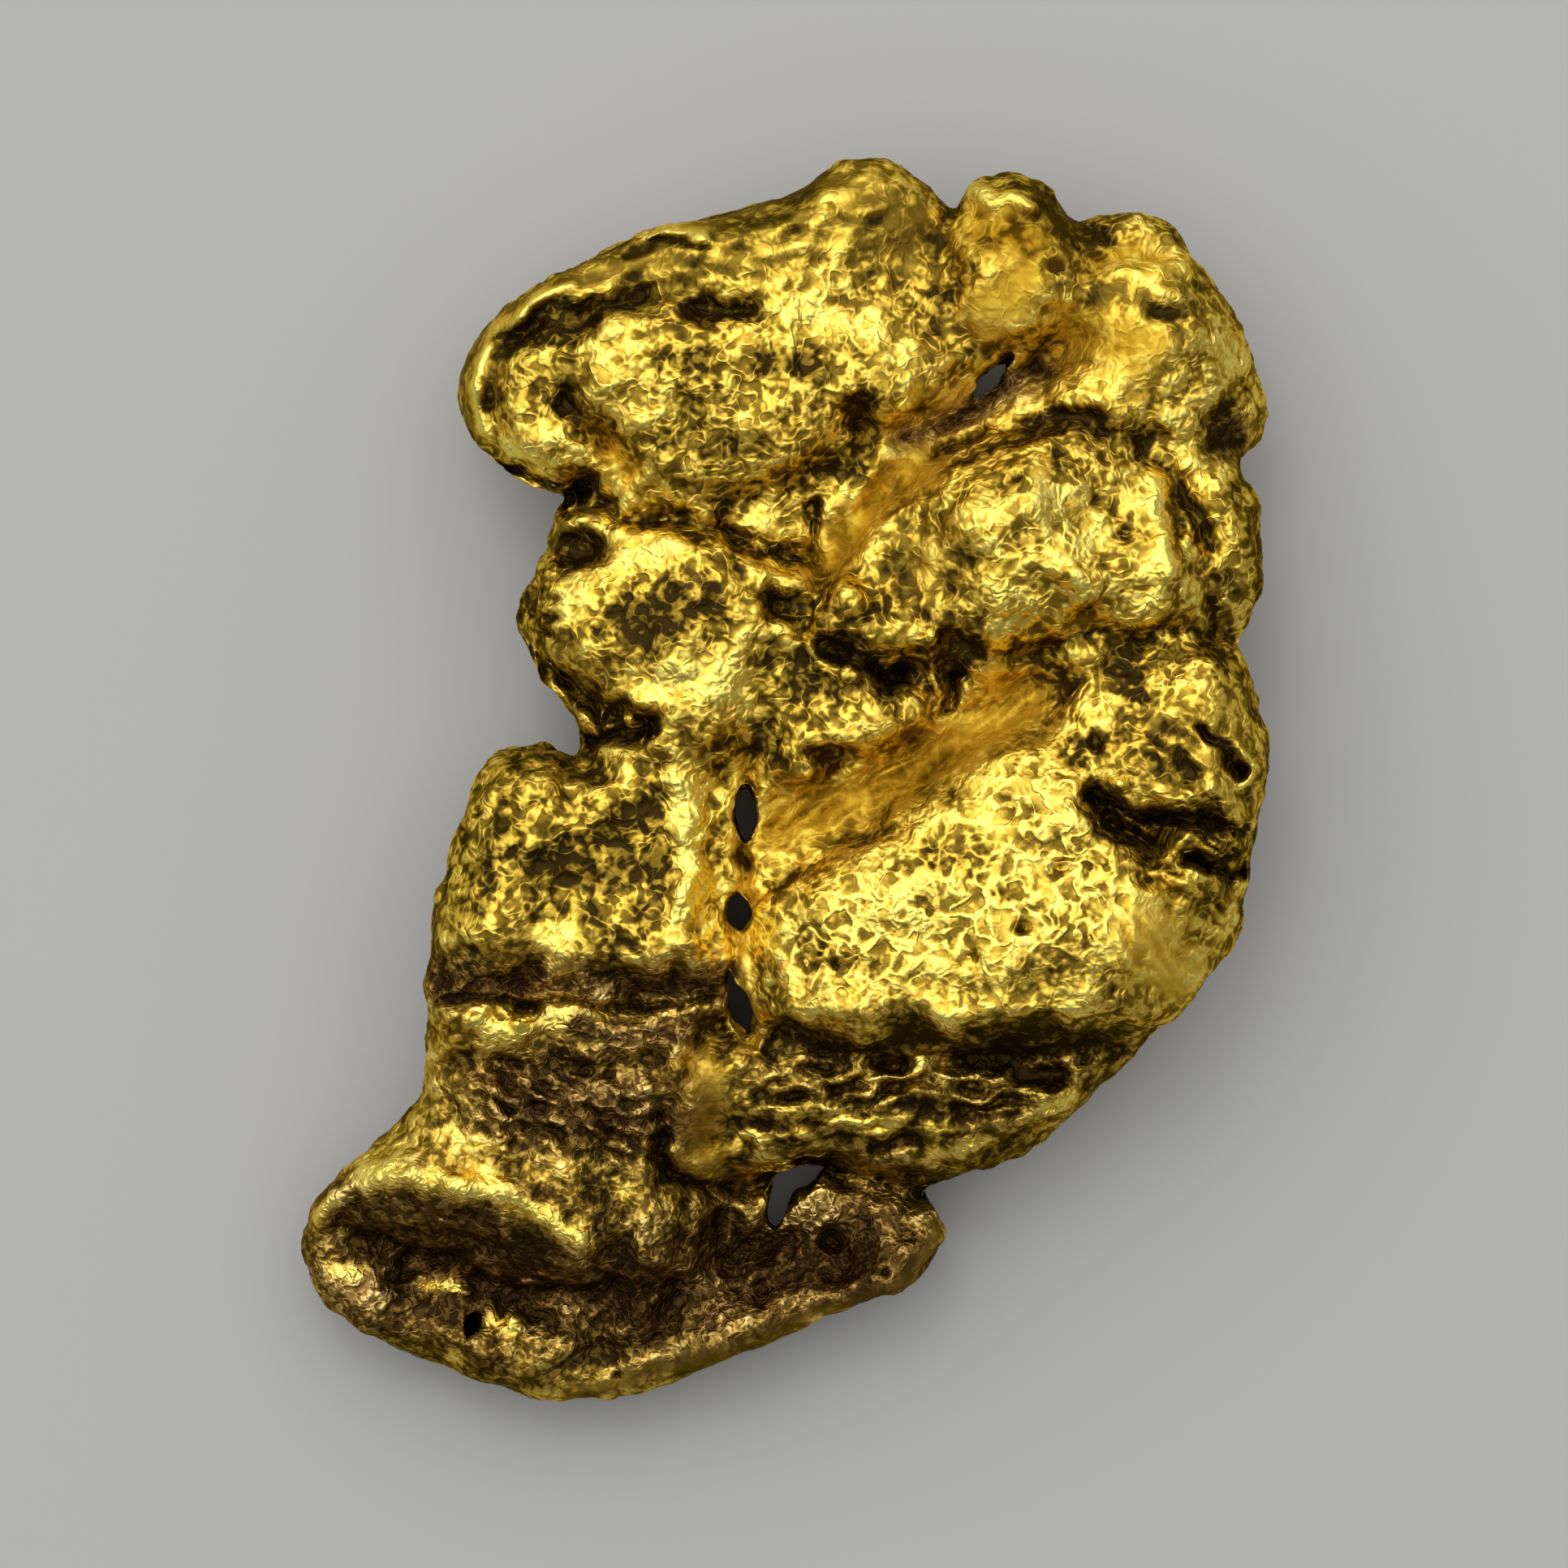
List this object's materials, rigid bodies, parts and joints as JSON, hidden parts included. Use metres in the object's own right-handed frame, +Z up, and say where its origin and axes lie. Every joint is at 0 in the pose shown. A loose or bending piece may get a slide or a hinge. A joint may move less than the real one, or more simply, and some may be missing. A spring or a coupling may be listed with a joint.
{
  "type": "gold nugget",
  "caption": "Flat, folded natural gold nugget: battered rounded lobes with deep creases, pits and slits between them, lying on its flatter side.",
  "frame": {"origin": "on the ground under the middle of the nugget's bounding box", "axes": "+Y along the nugget's length, towards its broad end; +Z up, away from the surface it lies on; +X across"},
  "size_m": [0.0186, 0.024, 0.0058],
  "materials": {
    "native_gold": "natural gold: soft polished crests, rough dull pits with brown iron stain"
  },
  "bodies": {
    "root": {"nugget": "native_gold"}
  },
  "joints": []
}
